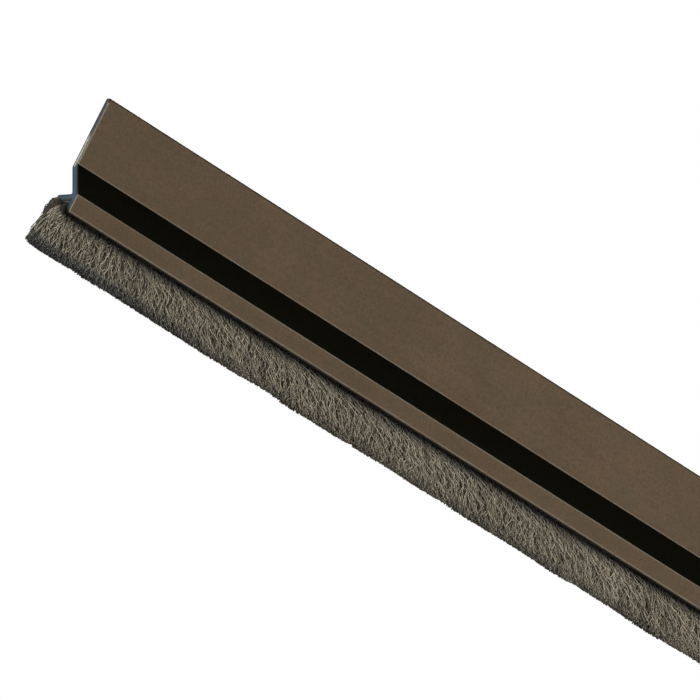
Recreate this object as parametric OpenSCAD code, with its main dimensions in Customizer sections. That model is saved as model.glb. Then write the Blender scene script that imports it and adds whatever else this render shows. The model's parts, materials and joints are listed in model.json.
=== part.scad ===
// Pile door sweep: an aluminium carrier, and the woven pile insert that slides into its channel.
// +X runs along the sweep, +Y points into the door and +Z is up.
// The origin is the centre of the flange's back face, which lies flat on the door.

/* [Carrier] */
// Length of the carrier
sweep_length = 914.4; // [300:0.1:1220]
// Height of the aluminium, from the flange's top edge to the lip's lower edge
carrier_height = 38.1; // [34:0.1:60]
// Depth of the carrier, from the door to the lip's front face
carrier_depth = 12.7; // [12.5:0.1:14]
// Thickness of the flange and of the sloping web
flange_thickness = 2.4; // [1.6:0.1:3]
// Angle between the web and the flange
web_angle = 45; // [40:1:52]
// Height of the lip in front of the pile channel
lip_height = 6; // [5.8:0.1:7]
// Thickness of the walls round the pile channel
channel_wall = 2; // [1.6:0.1:2.1]
// Radius of the extrusion's edges
edge_radius = 0.4; // [0.2:0.05:0.5]

/* [Pile channel] */
// How far each hook reaches in under the backing
hook_reach = 1.2; // [0.8:0.1:1.4]
// Thickness of the hooks
hook_thickness = 1.2; // [1:0.1:1.3]
// Height of the slot that holds the backing
slot_height = 1.3; // [1.2:0.1:1.4]

/* [Pile insert] */
// How far the insert stands out past each end of the carrier
insert_overhang = 1.5; // [0:0.1:3]
// Clearance between the insert and the slot on every side
slide_clearance = 0.1; // [0.05:0.01:0.15]
// Thickness of the adhesive coat on the backing
coating_thickness = 0.2; // [0.1:0.05:0.3]
// How far the pile stands out below the carrier
pile_reach = 12.7; // [8:0.1:16]
// Half the width of the pile at its roots
pile_root_half = 2.2; // [1.6:0.1:2.3]
// Half the width of the pile at its tips
pile_tip_half = 5.5; // [4:0.1:5.6]
// Depth below the pivot at which the pile reaches its full width
pile_flare_depth = 12; // [11:0.5:14]
// How much shorter the outer pile stands than the middle
pile_tip_rise = 1.6; // [0.5:0.1:2.5]

/* [Hidden] */
// Facets in a full circle at each rounded corner and about the pivot, steps down each side of a
// pile row, and steps across its tips
corner_facets = 40;
pivot_facets = 96;
side_steps = 12;
tip_steps = 3;
// Share of the pile's half width left clear on each side of a row
row_gap = 0.012;
// How much rounder the root of the pile is than it is wide, so that its corners are round too
root_ease = 0.1;
root_radius = pile_root_half + root_ease;

// Heights above the lip's lower edge
fold_low = lip_height;
fold_high = fold_low + (carrier_depth - flange_thickness) / tan(web_angle);
flange_foot = fold_high - flange_thickness * tan(web_angle / 2);
slot_top = lip_height - channel_wall;
slot_floor = slot_top - slot_height;
hook_foot = slot_floor - hook_thickness;
origin_height = (flange_foot + carrier_height) / 2;

// Distances in front of the door
void_front = (flange_foot - fold_low) * tan(web_angle);
channel_front = carrier_depth - channel_wall;
channel_middle = carrier_depth / 2;

// The pile bends about a line in the channel's mouth
pivot_height = slot_floor - root_radius;
pile_depth = pivot_height + pile_reach;
insert_length = sweep_length + 2 * insert_overhang;

function unit(v) = v / norm(v);

function mix(a, b, share) = a + (b - a) * share;

// The arc of one radius that rounds corner b of the path a-b-c, or b itself where the radius is 0
function rounded_corner(a, b, c, radius) =
    radius == 0 ? [b] :
    let (
        u = unit(a - b),
        v = unit(c - b),
        half = acos(u * v) / 2,
        centre = b + unit(u + v) * radius / sin(half),
        first = b + u * radius / tan(half) - centre,
        last = b + v * radius / tan(half) - centre,
        steps = ceil((180 - 2 * half) * corner_facets / 360)
    )
    [for (i = [0:steps]) centre + unit(mix(first, last, i / steps)) * radius];

// An outline of [distance, height, radius] corners as plain points
function rounded_outline(corners) =
    let (n = len(corners), at = function (i) [corners[i % n][0], corners[i % n][1]])
    [for (i = [0:n - 1]) each rounded_corner(at(i + n - 1), at(i), at(i + 1), corners[i][2])];

// Extrudes an outline of [distance in front of the door, height above the lip's edge]
module run_along_sweep(length) {
    translate([-length / 2, 0, -origin_height])
        rotate([90, 0, 90])
            linear_extrude(height = length)
                mirror([1, 0]) children();
}

module carrier() {
    hook_front = channel_front - hook_reach;
    hook_rear = channel_wall + hook_reach;
    fine = edge_radius / 2;
    color("#5b4a3b") run_along_sweep(sweep_length) polygon(rounded_outline([
        [0, carrier_height, edge_radius],
        [flange_thickness, carrier_height, edge_radius],
        [flange_thickness, fold_high, edge_radius],
        [carrier_depth, fold_low, edge_radius],
        [carrier_depth, 0, edge_radius],
        [channel_front, 0, fine],
        [channel_front, hook_foot, fine],
        [hook_front, hook_foot, fine],
        [hook_front, slot_floor, fine],
        [channel_front, slot_floor, 0],
        [channel_front, slot_top, 0],
        [channel_wall, slot_top, 0],
        [channel_wall, slot_floor, 0],
        [hook_rear, slot_floor, fine],
        [hook_rear, hook_foot, fine],
        [channel_wall, hook_foot, fine],
        [channel_wall, 0, fine],
        [0, 0, edge_radius],
        [0, fold_low, edge_radius],
        [void_front, fold_low, edge_radius],
        [0, flange_foot, edge_radius]
    ]));
}

// A flat strip that fills the slot's width, from one height to another
module slot_strip(bottom, top) {
    run_along_sweep(insert_length)
        translate([channel_wall + slide_clearance, bottom])
            square([channel_front - channel_wall - 2 * slide_clearance, top - bottom]);
}

module backing_strip() {
    color("#4a453f")
        slot_strip(slot_floor + slide_clearance, slot_top - slide_clearance - coating_thickness);
}

module back_coating() {
    color("#d9d3c4")
        slot_strip(slot_top - slide_clearance - coating_thickness, slot_top - slide_clearance);
}

// Half the pile's width at a depth below the pivot
function half_width(depth) =
    mix(pile_root_half, pile_tip_half, sin(90 * min(1, depth / pile_flare_depth)));

// The pile's depth at a share of its half width
function tip_depth(share) = pile_depth - pile_tip_rise * share * share;

// Points down one side of a row, from the pivot's level to its tip
function row_side(share) =
    [for (i = [0:side_steps])
        let (depth = tip_depth(share) * i / side_steps)
        [share * half_width(depth), -depth]];

// Points of a list from its last to its first
function reversed(points) = [for (i = [len(points) - 1:-1:0]) points[i]];

// The space the pile may fill: a cylinder about the pivot, so that the roots clear the backing
// as the pile bends, and everything below the pivot down to the tips.
module pile_space() {
    circle(r = root_radius, $fn = pivot_facets);
    translate([-pile_tip_half, -pile_depth])
        square([2 * pile_tip_half, pile_depth]);
}

// One row of pile between two shares of the half width, where the rear is -1 and the front is 1
module pile_row(rear, front) {
    low = rear + row_gap;
    high = front - row_gap;
    roots = [[low * pile_root_half, root_radius], [high * pile_root_half, root_radius]];
    shares = [for (i = [1:tip_steps]) mix(high, low, i / (tip_steps + 1))];
    tips = [for (s = shares) [s * half_width(tip_depth(s)), -tip_depth(s)]];
    color("#7f7365")
        run_along_sweep(insert_length)
            translate([channel_middle, pivot_height])
                intersection() {
                    pile_space();
                    polygon(concat(roots, row_side(high), tips, reversed(row_side(low))));
                }
}

module pile_row_front() { pile_row(2 / 3, 1); }

module pile_row_front_middle() { pile_row(1 / 3, 2 / 3); }

module pile_row_front_inner() { pile_row(0, 1 / 3); }

module pile_row_rear_inner() { pile_row(-1 / 3, 0); }

module pile_row_rear_middle() { pile_row(-2 / 3, -1 / 3); }

module pile_row_rear() { pile_row(-1, -2 / 3); }

carrier();
backing_strip();
back_coating();
pile_row_front();
pile_row_front_middle();
pile_row_front_inner();
pile_row_rear_inner();
pile_row_rear_middle();
pile_row_rear();
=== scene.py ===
"""Looks for a pile door sweep: anodised aluminium carrier, woven backing tape and tufted pile."""
import json
import math

import bpy
import numpy as np
from mathutils import Euler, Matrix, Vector


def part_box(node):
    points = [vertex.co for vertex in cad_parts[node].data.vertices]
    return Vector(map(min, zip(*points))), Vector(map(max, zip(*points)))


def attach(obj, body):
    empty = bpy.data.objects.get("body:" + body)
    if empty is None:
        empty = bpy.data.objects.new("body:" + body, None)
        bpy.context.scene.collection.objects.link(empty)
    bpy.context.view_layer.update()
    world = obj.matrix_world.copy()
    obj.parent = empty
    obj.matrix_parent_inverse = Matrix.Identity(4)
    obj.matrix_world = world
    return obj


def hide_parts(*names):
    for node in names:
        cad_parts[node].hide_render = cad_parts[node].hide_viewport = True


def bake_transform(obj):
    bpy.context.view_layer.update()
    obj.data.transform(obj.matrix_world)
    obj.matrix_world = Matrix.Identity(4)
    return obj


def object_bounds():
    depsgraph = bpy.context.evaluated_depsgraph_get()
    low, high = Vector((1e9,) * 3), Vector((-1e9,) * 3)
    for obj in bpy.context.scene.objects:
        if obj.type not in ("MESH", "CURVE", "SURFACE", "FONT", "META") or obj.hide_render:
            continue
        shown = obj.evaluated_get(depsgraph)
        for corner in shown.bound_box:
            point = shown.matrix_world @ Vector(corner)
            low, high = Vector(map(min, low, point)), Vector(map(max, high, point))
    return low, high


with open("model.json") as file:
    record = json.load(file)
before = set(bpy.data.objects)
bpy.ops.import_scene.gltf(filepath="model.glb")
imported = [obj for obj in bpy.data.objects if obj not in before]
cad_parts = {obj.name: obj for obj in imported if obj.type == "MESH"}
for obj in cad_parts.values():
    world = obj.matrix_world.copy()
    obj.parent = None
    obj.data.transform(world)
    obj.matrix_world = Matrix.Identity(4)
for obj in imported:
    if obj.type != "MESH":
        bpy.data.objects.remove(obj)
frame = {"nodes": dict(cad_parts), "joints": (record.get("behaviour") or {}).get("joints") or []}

cad_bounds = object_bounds()

MM = 0.001
INSERT = "insert"
CARRIER_LOW, CARRIER_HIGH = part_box("carrier")
TAPE_LOW, TAPE_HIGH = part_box("backing_strip")
COAT_LOW, COAT_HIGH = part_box("back_coating")
PILE_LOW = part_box("pile_row_front_inner")[0]
FLEX = next(joint for joint in frame["joints"] if joint["name"] == "pile_flex")
PIVOT = Vector(FLEX["pos_m"])

# Thickness of the carrier's flange
WALL = 2.4 * MM

# Pile rows from the rear of the channel to the front
ROWS = [
    "pile_row_rear",
    "pile_row_rear_middle",
    "pile_row_rear_inner",
    "pile_row_front_inner",
    "pile_row_front_middle",
    "pile_row_front",
]


# ---------------------------------------------------------------- node helpers


WHITE = (1, 1, 1, 1)
# Most of a noise lies between these
NOISE_LOW, NOISE_HIGH = 0.3, 0.7


def grey(value):
    return (value, value, value, 1.0)


class Nodes:
    """A short way to write the node tree of a material or a world."""

    def __init__(self, owner, output):
        owner.use_nodes = True
        self.owner = owner
        self.tree = owner.node_tree
        self.tree.nodes.clear()
        self.output = self.tree.nodes.new(output)

    def put(self, socket, value):
        """Sets an input to a value, or links it to another node's output."""
        if isinstance(value, bpy.types.NodeSocket):
            self.tree.links.new(value, socket)
        else:
            socket.default_value = value

    def add(self, kind, settings=None, **inputs):
        """A new node with its settings, and its inputs given by name as values or sockets."""
        node = self.tree.nodes.new(kind)
        for name, value in (settings or {}).items():
            setattr(node, name, value)
        for name, value in inputs.items():
            self.put(node.inputs[name.replace("_", " ")], value)
        return node

    def source(self, kind, output):
        """One output of a new node that needs no inputs."""
        return self.tree.nodes.new(kind).outputs[output]

    def attribute(self, name):
        return self.add("ShaderNodeAttribute", {"attribute_name": name}).outputs["Fac"]

    def place(self):
        """The position in the object's own frame, in metres."""
        return self.source("ShaderNodeTexCoord", "Object")

    def part(self, vector, axis):
        return self.add("ShaderNodeSeparateXYZ", Vector=vector).outputs[axis]

    def math(self, operation, a, b=0.0):
        node = self.add("ShaderNodeMath", {"operation": operation})
        self.put(node.inputs[0], a)
        self.put(node.inputs[1], b)
        return node.outputs[0]

    def times(self, a, b):
        return self.math("MULTIPLY", a, b)

    def measure(self, operation, *vectors):
        """A number taken from one or two vectors."""
        node = self.add("ShaderNodeVectorMath", {"operation": operation})
        for socket, vector in zip(node.inputs, vectors):
            self.put(socket, vector)
        return node.outputs["Value"]

    def ramp(self, value, low, high, to_low=0.0, to_high=1.0):
        """Maps value from low..high to to_low..to_high, held at both ends."""
        node = self.add("ShaderNodeMapRange", {"clamp": True}, Value=value)
        spans = {"From Min": low, "From Max": high, "To Min": to_low, "To Max": to_high}
        for name, number in spans.items():
            self.put(node.inputs[name], number)
        return node.outputs["Result"]

    def vary(self, noise, to_low, to_high):
        """Maps a noise's usual span to to_low..to_high."""
        return self.ramp(noise, NOISE_LOW, NOISE_HIGH, to_low, to_high)

    def mix(self, share, a, b, blend="MIX"):
        """Colour a at share 0, and b, or a blended with b, at share 1."""
        node = self.add("ShaderNodeMix", {"data_type": "RGBA", "blend_type": blend})
        self.put(node.inputs[0], share)
        self.put(node.inputs[6], a)
        self.put(node.inputs[7], b)
        return node.outputs[2]

    def shade(self, colour, by):
        return self.mix(1.0, colour, by, "MULTIPLY")

    def noise(self, coordinates, scale, detail=2.0, stretch=(1, 1, 1), roughness=0.5):
        """Noise of so many cells a metre, stretched along the axes."""
        placed = self.add("ShaderNodeMapping", Vector=coordinates, Scale=stretch)
        node = self.add(
            "ShaderNodeTexNoise",
            Vector=placed.outputs[0],
            Scale=scale,
            Detail=detail,
            Roughness=roughness,
        )
        return node.outputs["Fac"]

    def bump(self, height, strength, distance):
        node = self.add("ShaderNodeBump", Height=height, Strength=strength, Distance=distance)
        return node.outputs["Normal"]

    def choose(self, share, a, b):
        """Shader a at share 0 and b at share 1."""
        node = self.tree.nodes.new("ShaderNodeMixShader")
        for socket, value in zip(node.inputs, (share, a, b)):
            self.put(socket, value)
        return node.outputs[0]

    def surface(self, shader):
        self.put(self.output.inputs["Surface"], shader)

    def principled(self, **inputs):
        self.surface(self.add("ShaderNodeBsdfPrincipled", **inputs).outputs[0])


def new_material(name):
    return Nodes(bpy.data.materials.new(name), "ShaderNodeOutputMaterial")


# ------------------------------------------------------------------- materials


def edge_mask(m, true_normal, radius):
    """1 along a solid's edges and 0 away from them, from where a bevelled normal leaves the true one."""
    bevel = m.add("ShaderNodeBevel", {"samples": 6}, Radius=radius).outputs[0]
    return m.ramp(m.measure("DOT_PRODUCT", bevel, true_normal), 0.999, 0.975)


def saw_cut(m, place, height):
    """The cut ends' colour, and the saw marks in them. By its height up the carrier, from 0 to 1, the
    metal gets painted reflections: blue on the web, bright cream on the lower flange and dark on the
    upper one, with a painted glint along a burr down its front. The rims get painted shade."""
    fold = 0.40
    # Heights where the lower flange end's painted bright reflection stops and fades out
    reflection_top, reflection_fade = 0.62, 0.72
    # Painted reflections: blue on the web's end, dark on the upper flange's end
    web_blue_reflection = (0.036, 0.113, 0.185, 1)
    upper_flange_dark_reflection = (0.045, 0.045, 0.062, 1)
    # A painted glint along the burr
    burr_glint = (0.8, 0.78, 0.72, 1)
    # A painted bright cream reflection on the lower flange's end
    lower_flange_bright_reflection = (0.95, 0.91, 0.78, 1)
    saw = m.noise(place, 1500, detail=3, stretch=(1, 1, 0.12), roughness=0.6)
    patch = m.noise(place, 260, detail=2)
    spots = m.noise(place, 1900, detail=3, roughness=0.7)
    forward = m.ramp(m.part(place, "Y"), 0, -WALL)
    wavy = m.math("ADD", height, m.vary(patch, -0.04, 0.04))

    above_web = m.ramp(wavy, fold, fold + 0.04)
    colour = m.mix(above_web, web_blue_reflection, upper_flange_dark_reflection)
    # A speckled painted glint along the burr at the front edge of the flange's end
    glint_speckles = m.times(m.ramp(forward, 0.62, 0.8), m.ramp(spots, 0.4, 0.6))
    colour = m.mix(m.times(above_web, glint_speckles), colour, burr_glint)
    # A patchy painted bright reflection on the lower flange's end
    bright_reflection_share = m.times(m.ramp(wavy, fold, fold + 0.03), m.ramp(wavy, reflection_fade, reflection_top))
    bright_reflection_share = m.times(bright_reflection_share, m.ramp(spots, 0.36, 0.5, 0.25, 1.0))
    colour = m.mix(bright_reflection_share, colour, lower_flange_bright_reflection)

    # Painted shade along the rims: edges are near the solid's other faces, so less of its inside is open
    # to them
    inside = {"inside": True, "only_local": True, "samples": 8}
    open_share = m.add("ShaderNodeAmbientOcclusion", inside, Distance=WALL / 2).outputs["AO"]
    rim_painted_shade = m.ramp(open_share, 0.7, 0.98, 0.05, 1.0)
    return m.shade(colour, m.times(m.vary(saw, 0.65, 1.3), rim_painted_shade)), saw


def anodised_bronze():
    """Satin bronze anodising on an extrusion, with painted highlights along its edges and a painted dark
    reflection along its top one, and bare saw-cut ends with painted reflections.
    """
    # A painted highlight for the edges, and a painted dark reflection for the top edge
    edge_highlight = (0.34, 0.30, 0.24, 1)
    top_edge_dark_reflection = (0.005, 0.004, 0.003, 1)
    m = new_material("anodised_bronze")
    place = m.place()
    speckle = m.noise(place, 1400, detail=4, roughness=0.75)
    cloud = m.noise(place, 45, detail=3)
    tint = m.noise(place, 130, detail=4, roughness=0.65)
    die_lines = m.noise(place, 900, detail=3, stretch=(0.004, 1, 1))

    coat = m.mix(m.ramp(tint, 0.35, 0.65), (0.121, 0.081, 0.051, 1), (0.108, 0.079, 0.051, 1))
    uneven = m.times(m.vary(speckle, 0.68, 1.32), m.vary(cloud, 0.95, 1.05))
    coat = m.shade(coat, m.times(uneven, m.vary(die_lines, 0.96, 1.04)))
    coat_roughness = m.math("ADD", m.vary(speckle, 0.34, 0.44), m.vary(die_lines, -0.03, 0.03))

    # Edges get a painted highlight, apart from the top one, which gets a painted dark reflection
    true_normal = m.source("ShaderNodeNewGeometry", "True Normal")
    height = m.ramp(m.part(place, "Z"), CARRIER_LOW.z, CARRIER_HIGH.z)
    edge = m.times(edge_mask(m, true_normal, 0.8 * MM), m.ramp(tint, 0.3, 0.6, 0.6, 1))
    coat = m.mix(edge, coat, m.mix(m.ramp(height, 0.96, 0.97), edge_highlight, top_edge_dark_reflection))

    bare, saw = saw_cut(m, place, height)
    cut = m.ramp(m.math("ABSOLUTE", m.part(true_normal, "X")), 0.9, 0.95)
    m.principled(
        Base_Color=m.mix(cut, coat, bare),
        Metallic=1.0,
        Roughness=m.mix(cut, coat_roughness, grey(0.32)),
        Normal=m.bump(m.mix(cut, speckle, saw), m.ramp(cut, 0, 1, 0.06, 0.35), 0.05 * MM),
    )
    return m.owner


def pile_yarn():
    """Spun yarn: each strand has its own tone, gets painted shade inside the channel, and painted bluish
    shade on the tips near the low end and on the rear past that cut end.
    """
    m = new_material("pile_yarn")
    tones = m.add("ShaderNodeValToRGB", Fac=m.attribute("tone"))
    stops = tones.color_ramp.elements
    stops[0].position, stops[0].color = 0.0, (0.110, 0.091, 0.062, 1)
    stops[1].position, stops[1].color = 1.0, (0.40, 0.345, 0.25, 1)
    stops.new(0.5).color = (0.235, 0.201, 0.140, 1)
    fibre = m.noise(m.place(), 1300, detail=3, stretch=(1, 1, 0.8), roughness=0.65)
    yarn = m.shade(
        tones.outputs["Color"], m.times(m.attribute("light"), m.ramp(fibre, 0.35, 0.65, 0.6, 1.4))
    )
    # Painted bluish shade on the tips near the low end and on the rear past that cut end
    painted_shade = m.mix(m.attribute("painted_shade"), WHITE, (0.40, 0.46, 0.58, 1))
    m.principled(
        Base_Color=m.shade(yarn, painted_shade),
        Roughness=0.55,
        Sheen_Weight=0.25,
        Sheen_Roughness=0.4,
        Normal=m.bump(fibre, 0.4, 0.1 * MM),
    )
    return m.owner


def woven_tape():
    """The close-woven ground of the pile strip."""
    m = new_material("woven_backing")
    place = m.place()
    warp = m.noise(place, 1800, detail=2, stretch=(0.15, 1, 1))
    weft = m.noise(place, 1800, detail=2, stretch=(1, 0.15, 0.15))
    weave = m.times(m.vary(warp, 0, 1), m.vary(weft, 0, 1))
    m.principled(
        Base_Color=m.mix(weave, (0.05, 0.044, 0.037, 1), (0.19, 0.17, 0.145, 1)),
        Roughness=0.8,
        Sheen_Weight=0.2,
        Normal=m.bump(weave, 0.5, 0.1 * MM),
    )
    return m.owner


def adhesive_coat():
    """A thin dried coat of adhesive that takes the tape's weave."""
    m = new_material("adhesive_coat")
    place = m.place()
    patch = m.noise(place, 220, detail=3)
    grain = m.noise(place, 1500, detail=2)
    m.principled(
        Base_Color=m.mix(m.ramp(patch, 0.35, 0.65), (0.58, 0.54, 0.46, 1), (0.72, 0.69, 0.62, 1)),
        Roughness=m.vary(grain, 0.3, 0.5),
        Normal=m.bump(grain, 0.3, 0.08 * MM),
    )
    return m.owner


# ---------------------------------------------------------------- mesh helpers


TURN = 2 * math.pi


def mesh_object(name, points, faces, material, attributes=None):
    """A smooth mesh object from an array of points and arrays of quads or triangles."""
    mesh = bpy.data.meshes.new(name)
    mesh.vertices.add(len(points))
    mesh.vertices.foreach_set("co", points.astype(np.float32).ravel())
    corners = np.concatenate([f.ravel() for f in faces])
    totals = np.concatenate([np.full(len(f), f.shape[1]) for f in faces])
    mesh.loops.add(len(corners))
    mesh.loops.foreach_set("vertex_index", corners.astype(np.int32))
    mesh.polygons.add(len(totals))
    mesh.polygons.foreach_set("loop_start", (np.cumsum(totals) - totals).astype(np.int32))
    mesh.polygons.foreach_set("loop_total", totals.astype(np.int32))
    mesh.polygons.foreach_set("use_smooth", np.ones(len(totals), bool))
    for key, values in (attributes or {}).items():
        layer = mesh.attributes.new(key, "FLOAT", "POINT")
        layer.data.foreach_set("value", values.astype(np.float32).ravel())
    mesh.update()
    mesh.validate()
    mesh.materials.append(material)
    piece = bpy.data.objects.new(name, mesh)
    bpy.context.scene.collection.objects.link(piece)
    return piece


def wander(x, longest, shortest, seed, waves=7):
    """A smooth irregular wave of x, about -1 to 1, from sines between two wavelengths."""
    lengths = np.geomspace(longest, shortest, waves)
    phases = np.random.default_rng(seed).uniform(0, TURN, waves)
    total = sum(np.sin(TURN * x / l + p) for l, p in zip(lengths, phases))
    return total / math.sqrt(waves)


def tubes(paths, radii, sides):
    """Closed tubes along paths (tube, step, xyz)."""
    count, steps = paths.shape[:2]
    tangent = np.gradient(paths, axis=1)
    tangent /= np.linalg.norm(tangent, axis=2, keepdims=True)
    u = np.cross(tangent, (0.0, 1.0, 0.0))
    u /= np.linalg.norm(u, axis=2, keepdims=True)
    v = np.cross(tangent, u)
    turn = np.arange(sides) * TURN / sides
    ring = u[:, :, None, :] * np.cos(turn)[:, None] + v[:, :, None, :] * np.sin(turn)[:, None]
    points = paths[:, :, None, :] + ring * radii[:, :, None, None]
    first = (np.arange(count) * steps * sides)[:, None, None]
    along = (np.arange(steps - 1) * sides)[None, :, None]
    here = first + along + np.arange(sides)
    beside = first + along + (np.arange(sides) + 1) % sides
    walls = np.stack([here, here + sides, beside + sides, beside], -1).reshape(-1, 4)
    root_caps = (first + np.arange(sides)).reshape(count, sides)
    tip_caps = root_caps[:, ::-1] + (steps - 1) * sides
    return points.reshape(-1, 3), [walls, root_caps, tip_caps]


# ------------------------------------------------------------------------ pile


STRAND_SIDES = 3

# The pile's outline: half its width at its roots and tips, how much shorter it is at its sides, the
# gap it keeps below its tips, the depth at which it leaves the channel's mouth, and how far below
# that it takes to swell and to bend
ROOT_HALF = 2.3 * MM
TIP_HALF = PIVOT.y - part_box("pile_row_front")[0].y
TIP_RISE = 1.6 * MM
TIP_GAP = 0.3 * MM
MOUTH_DEPTH = TAPE_LOW.z - PIVOT.z
FLARE_DEPTH = 8 * MM
FLARE_POWER = 2.5

# Lengths: the shortest strand's share of a full one, a slow wave along the sweep, and the spread
SHORTEST = 0.3
LENGTH_WAVE = 0.25 * MM
LENGTH_SPREAD = 0.03 * MM

# Leans along the sweep, for each metre down: the nap's, a slow wave, and each strand's own. The nap
# takes this far from a cut end to lie down.
NAP_LEAN = 0.3
LEAN_WAVE = 0.14
LEAN_SPREAD = 0.17
COMB_START = 50 * MM

# Tips: how much of a strand shows, how far it turns in, how far along the sweep it is combed for
# its length when it is full and when it is short, and the spread
TIP_SHOW = 2.6 * MM
TURN_IN = 0.10
COMB_FULL, COMB_SHORT = 0.4, 2.0
STRAY_SPREAD = 0.55

# Every strand's waves: their size in millimetres, how many there are, and their size across the
# sweep as a share of their size along it
CRIMP_MM = (0.2, 0.5)
CRIMP_TURNS = (2.2, 3.8)
CRIMP_ACROSS = 0.7

# A cut end: the tape that has frayed away, how far in the yarn is loose, how much longer it is, and
# the angles from straight down at which its strands fan out and the rear ones curl over
END_FRAY = 1.8 * MM
END_REACH = 3.0 * MM
END_LONGER = 0.04
END_CURL = 5.0 * MM
FAN_START = math.radians(58)
FAN_TURN = math.radians(50)
CURL_START = math.radians(165)
CURL_PAST = math.radians(6)

# The two outer rows make the pile's faces. Many of their strands end part way down,
# and each lies under its neighbours until it comes out near its tip. The inner rows
# show only their tips.
OUTER_ROW = {
    "strands": 12400,
    "radius": 0.18 * MM,
    "steps": 14,
    "lengths": 5,
    "short": 0.68,
    "inset": 1.1 * MM,
    "crowd": 6.0,
}
INNER_ROW = {
    "strands": 6200,
    "radius": 0.24 * MM,
    "steps": 6,
    "lengths": 1,
    "short": 0.15,
    "inset": 0.0,
    "crowd": 4.0,
}

# The weave stops short of the insert's cut ends, and the yarn fans out past it
FRAY = Vector((END_FRAY, 0, 0))
WEAVE_LOW, WEAVE_HIGH = TAPE_LOW + FRAY, TAPE_HIGH - FRAY

FIRST_ROW_SEED = 100
LENGTH_SEED = 11
LEAN_SEED = 12
TONE_SEED = 14
TAPE_SEED = 21
COAT_SEED = 22


def ramp(value, low, high):
    """0 at low to 1 at high, held at both ends."""
    return np.clip((value - low) / (high - low), 0, 1)


def smooth_step(value, low, high):
    share = ramp(value, low, high)
    return share * share * (3 - 2 * share)


def column(values):
    """One value for each strand, ready to go with an array of (strand, step)."""
    return values[:, None]


def strand_roots(row, rear, front, rng):
    """Where strands leave the tape: their x, and their share of the pile's half width."""
    count = row["strands"]
    low, high = WEAVE_LOW.x, WEAVE_HIGH.x
    grid = np.linspace(low, high, 6000)
    # Even along the sweep, and crowded towards each cut end, where the strands spread out
    ends = np.exp((grid - high) / END_REACH) - np.exp((low - grid) / END_REACH)
    packed = grid + row["crowd"] * END_REACH * ends
    pitch = (packed[-1] - packed[0]) / count
    place = packed[0] + pitch * (np.arange(count) + 0.5 + rng.uniform(-0.6, 0.6, count))
    x = np.interp(place, packed, grid)
    share = np.clip(rng.uniform(rear - 0.06, front + 0.06, count), -1, 1)
    return x, share


def end_angle(share, along, full, curled):
    """A cut end's strand angles, from straight down. They fan out, but at the curled end the rear ones
    curl over the tape. At the other end none do, so that it can slide right into the channel."""
    outward = np.where(curled, share, np.abs(share))
    fan = column(0.66 + 0.34 * outward) * (FAN_START - FAN_TURN * along / full)
    curl = CURL_START * (1 - smooth_step(along, 0, END_CURL)) - CURL_PAST
    rear = column(curled * smooth_step(-share, -0.1, 0.6))
    return fan * (1 - rear) + curl * rear


def add_up(slope, along):
    """The running total of a slope along each strand."""
    pieces = (slope[:, 1:] + slope[:, :-1]) / 2 * np.diff(along, axis=1)
    return np.concatenate([np.zeros((len(slope), 1)), np.cumsum(pieces, axis=1)], axis=1)


def strand_lengths(row, roots, share, near, rng):
    """Strand lengths, rounded across the pile and wavy along it, and each one's share of a full one."""
    n = len(roots)
    cut = np.where(rng.uniform(0, 1, n) < row["short"], rng.uniform(SHORTEST, 1, n), 1.0)
    length = TAPE_LOW.z - PILE_LOW.z - TIP_RISE * share**2 - TIP_GAP
    length += LENGTH_WAVE * wander(roots, 60 * MM, 9 * MM, LENGTH_SEED)
    length = cut * (1 + END_LONGER * near) * (length + rng.normal(0, LENGTH_SPREAD, n))
    return length, cut


def nap_strength(roots):
    """1 along the sweep, and 0 at its cut ends, where the nap stands up."""
    from_low = smooth_step(roots - WEAVE_LOW.x, 0, COMB_START)
    from_high = smooth_step(WEAVE_HIGH.x - roots, 0, COMB_START)
    return from_low * from_high


def strand_lean(roots, nap, near, rng):
    """How far each strand leans along the sweep, for each metre down."""
    lean = NAP_LEAN * nap + LEAN_WAVE * wander(roots, 45 * MM, 8 * MM, LEAN_SEED)
    return (lean + rng.normal(0, LEAN_SPREAD, len(roots))) * (1 - near)


def strand_half(row, t, along, full, tip, rng):
    """Half the pile's width along each strand: straight through the mouth, a quick swell below it, and
    tips that turn in. A strand lies under its neighbours until it comes out near its tip."""
    swell = 1 - (1 - ramp(along, MOUTH_DEPTH, MOUTH_DEPTH + FLARE_DEPTH)) ** FLARE_POWER
    half = ROOT_HALF + (TIP_HALF - ROOT_HALF) * swell
    half = half * (1 - TURN_IN * smooth_step(along, 0.8 * full, full))
    under = rng.uniform(0.5, 1.2, full.shape) * row["inset"] * np.clip(2 * t, 0, 1)
    return half - under * (1 - smooth_step(tip, 0, 0.7 * TIP_SHOW))


def strand_comb(cut, nap, near, rng):
    """How far each tip is combed along the sweep, for its length. Short ones are combed the most."""
    stray = np.clip(rng.normal(0, STRAY_SPREAD, len(cut)), -1, 1) * (1 - 0.8 * near)
    return (COMB_SHORT - (COMB_SHORT - COMB_FULL) * cut) * nap + stray


def strand_crimp(t, near, rng):
    """The waves in each strand, along the sweep and across it. They start a little below its root."""
    n = len(near)
    size = column(rng.uniform(*CRIMP_MM, n) * MM * (1 - 0.4 * near)) * np.clip(t * 1.3 - 0.15, 0, 1)
    turns = rng.uniform(*CRIMP_TURNS, (n, 1))
    along = size * np.sin(TURN * (turns * t + rng.uniform(0, 1, (n, 1))))
    across = CRIMP_ACROSS * size * np.sin(TURN * (turns * t + rng.uniform(0, 1, (n, 1))))
    return along, across


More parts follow.
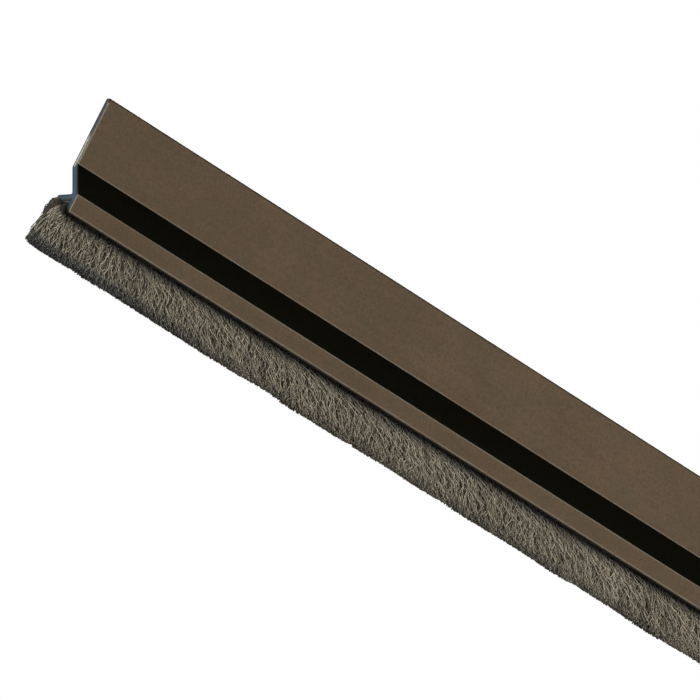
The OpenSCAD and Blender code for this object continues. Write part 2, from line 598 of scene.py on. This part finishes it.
def pile_paths(rear, front, row, rng):
    """The centre lines of one row's strands, between two shares of the pile's half width."""
    roots, share = strand_roots(row, rear, front, rng)
    t = np.linspace(0, 1, row["steps"])[None, :]

    # Past each cut end nothing holds the pile
    near_low = np.exp((WEAVE_LOW.x - roots) / END_REACH)
    near_high = np.exp((roots - WEAVE_HIGH.x) / END_REACH)
    near = near_low + near_high
    nap = nap_strength(roots)

    # Distances along each strand: from its root, and from where it shows
    length, cut = strand_lengths(row, roots, share, near, rng)
    full = column(length / cut)
    along = column(length) * t
    tip = along - column(length) + TIP_SHOW

    # Strands lean below the mouth, and leave the tape at their own angle at a cut end
    lean = strand_lean(roots, nap, near, rng)
    x = column(roots) + column(lean) * np.clip(along - MOUTH_DEPTH, 0, None)
    loose = column(near * rng.uniform(0.85, 1.05, len(near)))
    angle = loose * end_angle(share, along, full, roots < 0)
    x = x + column(np.sign(near_high - near_low)) * add_up(np.sin(angle), along)
    z = TAPE_LOW.z - add_up(np.cos(angle), along)
    y = PIVOT.y - column(share) * strand_half(row, t, along, full, tip, rng)

    x = x + column(strand_comb(cut, nap, near, rng)) * np.clip(tip, 0, TIP_SHOW)
    wave_along, wave_across = strand_crimp(t, near, rng)
    return np.stack([x + wave_along, y + wave_across, z], -1)


def strand_tones(x, rng):
    """How light each strand's yarn is, 0 to 1."""
    tone = 0.5 + 0.115 * rng.normal(0, 1, len(x))
    tone += 0.08 * wander(x, 70 * MM, 12 * MM, TONE_SEED)
    return np.clip(tone, 0, 1)


def strand_light(x, z):
    """How much light gets in at each point: little inside the channel, all of it past the cut ends."""
    inside = smooth_step(x, CARRIER_LOW.x - MM, CARRIER_LOW.x + MM)
    inside = inside * smooth_step(-x, -CARRIER_HIGH.x - MM, MM - CARRIER_HIGH.x)
    dark = TAPE_LOW.z - 3.4 * MM
    lit = dark - 3.4 * MM
    return 1 - 0.75 * inside * smooth_step(z, lit, dark)


def strand_painted_shade(x, y, z):
    """How much painted shade each point gets, 0 to 1: the tips near the low end, and the rear past its
    cut end.
    """
    tips = ramp(z, PILE_LOW.z + 3.2 * MM, PILE_LOW.z + 1.0 * MM)
    near_end = ramp(x, PILE_LOW.x + 80 * MM, PILE_LOW.x + 20 * MM)
    rear = ramp(y, PIVOT.y + 1.5 * MM, PIVOT.y + 4 * MM)
    past_cut = ramp(x, CARRIER_LOW.x + 2 * MM, CARRIER_LOW.x)
    return np.maximum(tips * near_end, rear * past_cut)


def pile_row(name, rear, front, row, material, seed):
    """One row of yarn, as one piece for each of its lengths."""
    rng = np.random.default_rng(seed)
    paths = pile_paths(rear, front, row, rng)
    x, y, z = np.moveaxis(paths, -1, 0)
    t = np.linspace(0, 1, row["steps"])[None, :]
    radii = row["radius"] * rng.uniform(0.75, 1.2, (len(paths), 1)) * (1 - 0.25 * t**3)
    finish = {
        "tone": np.broadcast_to(column(strand_tones(x[:, 0], rng)), x.shape),
        "light": strand_light(x, z),
        "painted_shade": strand_painted_shade(x, y, z),
    }
    pieces = []
    for i, part in enumerate(np.array_split(np.arange(len(paths)), row["lengths"])):
        points, faces = tubes(paths[part], radii[part], STRAND_SIDES)
        attributes = {
            key: np.repeat(values[part].ravel(), STRAND_SIDES) for key, values in finish.items()
        }
        part_name = name if row["lengths"] == 1 else f"{name}_{i + 1}"
        pieces.append(mesh_object(part_name, points, faces, material, attributes))
    return pieces


def add_pile():
    yarn = pile_yarn()
    edges = np.linspace(-1, 1, len(ROWS) + 1)
    for i, node in enumerate(ROWS):
        row = OUTER_ROW if i in (0, len(ROWS) - 1) else INNER_ROW
        name = node.replace("pile_row", "tufts")
        for piece in pile_row(name, edges[i], edges[i + 1], row, yarn, FIRST_ROW_SEED + i):
            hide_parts(node)
            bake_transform(piece)


# --------------------------------------------------------------- tape and coat


def ribbon(name, low, high, ribs, pitch, depth, material, rng):
    """A closed flat strip between two corners, with ribs along it crossed at a pitch.
    The bumps only go inwards, so the strip stays inside its box."""
    per_rib = 3
    shallowest = 0.6
    flat_foot = 0.3
    across = np.linspace(0, 1, ribs * per_rib + 1)
    along = np.linspace(low.x, high.x, int((high.x - low.x) / pitch) * 2 + 1)
    width, thick = high.y - low.y, high.z - low.z
    rib = np.abs(np.sin(across * ribs * math.pi))
    step = (np.arange(len(along)) % 2)[:, None]
    dip = depth * np.abs(rib - step) * rng.uniform(shallowest, 1.0, (len(along), len(across)))
    at_edge = np.minimum(across, 1 - across) < 1e-6
    edge_dip = depth * (0.3 + 0.7 * step) * at_edge
    y = low.y + width * across + edge_dip * np.where(across < 0.5, 1, -1)
    x = np.broadcast_to(along[:, None], dip.shape)
    upper = np.stack([x, y, high.z - dip], -1)
    lower = np.stack([x, y, low.z + np.minimum(dip, thick * flat_foot)], -1)[:, ::-1]
    rings = np.concatenate([upper, lower], 1)
    count, size = rings.shape[:2]
    first = (np.arange(count - 1) * size)[:, None]
    here = first + np.arange(size)
    beside = first + (np.arange(size) + 1) % size
    walls = np.stack([here, beside, beside + size, here + size], -1).reshape(-1, 4)
    left = np.arange(len(across) - 1)
    near_cap = np.stack([left, size - 1 - left, size - 2 - left, left + 1], -1)
    far_cap = near_cap[:, ::-1] + (count - 1) * size
    return mesh_object(name, rings.reshape(-1, 3), [walls, near_cap, far_cap], material)


def add_strip(name, node, low, high, pitch, depth, material, seed):
    """A ribbon that stands for a flat CAD node and slides with the insert."""
    ribs = 8
    rng = np.random.default_rng(seed)
    strip = ribbon(name, low, high, ribs, pitch, depth, material, rng)
    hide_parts(node)
    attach(strip, INSERT)


def add_tape():
    add_strip(
        "woven_tape",
        "backing_strip",
        WEAVE_LOW,
        WEAVE_HIGH,
        pitch=1.3 * MM,
        depth=0.16 * MM,
        material=woven_tape(),
        seed=TAPE_SEED,
    )
    add_strip(
        "tape_coat",
        "back_coating",
        COAT_LOW + FRAY,
        COAT_HIGH - FRAY,
        pitch=2.6 * MM,
        depth=0.05 * MM,
        material=adhesive_coat(),
        seed=COAT_SEED,
    )


# --------------------------------------------------------------------- carrier


def dress_carrier():
    carrier = frame["nodes"]["carrier"]
    carrier.data.materials.clear()
    carrier.data.materials.append(anodised_bronze())


# ----------------------------------------------------------------------- stage


def add_world():
    """White behind the object, a soft even fill on it, and a dark room in its reflections."""
    world = bpy.data.worlds.new("studio")
    bpy.context.scene.world = world
    w = Nodes(world, "ShaderNodeOutputWorld")

    def background(colour, strength):
        return w.add("ShaderNodeBackground", Color=colour, Strength=strength).outputs[0]

    fill = background((0.78, 0.89, 1.0, 1), 0.24)
    room = background((0.55, 1.0, 0.78, 1), 0.038)
    white = background(WHITE, 1.0)
    lit = w.choose(w.source("ShaderNodeLightPath", "Is Glossy Ray"), fill, room)
    w.surface(w.choose(w.source("ShaderNodeLightPath", "Is Camera Ray"), lit, white))


def add_floor():
    """A pale floor under the tips, seen only from above, that fades into the background."""
    size = 12.0
    gap = 0.4 * MM
    fade_start, fade_end = 0.5, 1.4
    low = cad_bounds[0]
    bpy.ops.mesh.primitive_plane_add(size=size, location=(0, PIVOT.y, low.z - gap))
    floor = bpy.context.object
    floor.name = "floor"
    m = new_material("pale_floor")
    fade = m.ramp(m.measure("LENGTH", m.place()), fade_start, fade_end, 0.5, 1.0)
    seen = m.source("ShaderNodeLightPath", "Is Camera Ray")
    paint = m.add("ShaderNodeBsdfDiffuse", Color=m.mix(seen, grey(0.7), grey(0.85))).outputs[0]
    glow = m.add("ShaderNodeEmission", Color=WHITE, Strength=1.0).outputs[0]
    clear = m.tree.nodes.new("ShaderNodeBsdfTransparent").outputs[0]
    top = m.choose(m.times(fade, seen), paint, glow)
    m.surface(m.choose(m.source("ShaderNodeNewGeometry", "Backfacing"), top, clear))
    floor.data.materials.append(m.owner)


def towards(azimuth, elevation):
    """The direction to a point at these degrees. Azimuth 0 is in front, 90 is +X."""
    a, e = math.radians(azimuth), math.radians(elevation)
    return Vector((math.sin(a) * math.cos(e), -math.cos(a) * math.cos(e), math.sin(e)))


def add_softbox(name, aim, azimuth, elevation, distance, width, height, power):
    """A rectangular area light that looks at aim."""
    light = bpy.data.lights.new(name, "AREA")
    light.shape = "RECTANGLE"
    light.size, light.size_y = width, height
    light.energy = power
    away = towards(azimuth, elevation)
    box = bpy.data.objects.new(name, light)
    box.location = aim + away * distance
    box.rotation_mode = "QUATERNION"
    box.rotation_quaternion = away.to_track_quat("Z", "Y")
    box.visible_camera = False
    bpy.context.scene.collection.objects.link(box)
    return box


def add_lights():
    centre = Vector((0, PIVOT.y, 0))
    near_end = Vector((CARRIER_LOW.x, PIVOT.y, 0))
    add_softbox(
        "key", centre, azimuth=22, elevation=14, distance=2.2, width=2.6, height=1.0, power=12
    )
    side = add_softbox(
        "side", centre, azimuth=35, elevation=12, distance=2.0, width=2.4, height=0.8, power=82
    )
    side.visible_glossy = False
    back = add_softbox(
        "back", near_end, azimuth=208, elevation=16, distance=2.4, width=1.2, height=0.8, power=2.4
    )
    back.data.color = (0.96, 0.97, 1.0)
    add_softbox(
        "rear", centre, azimuth=155, elevation=30, distance=2.4, width=2.4, height=0.8, power=50
    )


def add_camera():
    """A long lens, low and to the left of the near end, tipped over so the sweep falls to the right."""
    aim = Vector((CARRIER_LOW.x + 85.4 * MM, -41.8 * MM, -24.5 * MM))
    away = towards(azimuth=-24.7, elevation=-13.75)
    distance = 2.012
    roll = math.radians(26.1)
    camera = bpy.data.objects.new("camera", bpy.data.cameras.new("camera"))
    camera.data.sensor_width = 36
    camera.data.lens = 360
    camera.data.clip_start, camera.data.clip_end = 0.1, 50
    camera.location = aim + away * distance
    camera.rotation_mode = "QUATERNION"
    level = (-away).to_track_quat("-Z", "Y")
    camera.rotation_quaternion = level @ Euler((0, 0, roll)).to_quaternion()
    bpy.context.scene.collection.objects.link(camera)
    bpy.context.scene.camera = camera


dress_carrier()
add_tape()
add_pile()
add_world()
add_floor()
add_lights()
add_camera()
bpy.context.scene.view_settings.view_transform = "Standard"
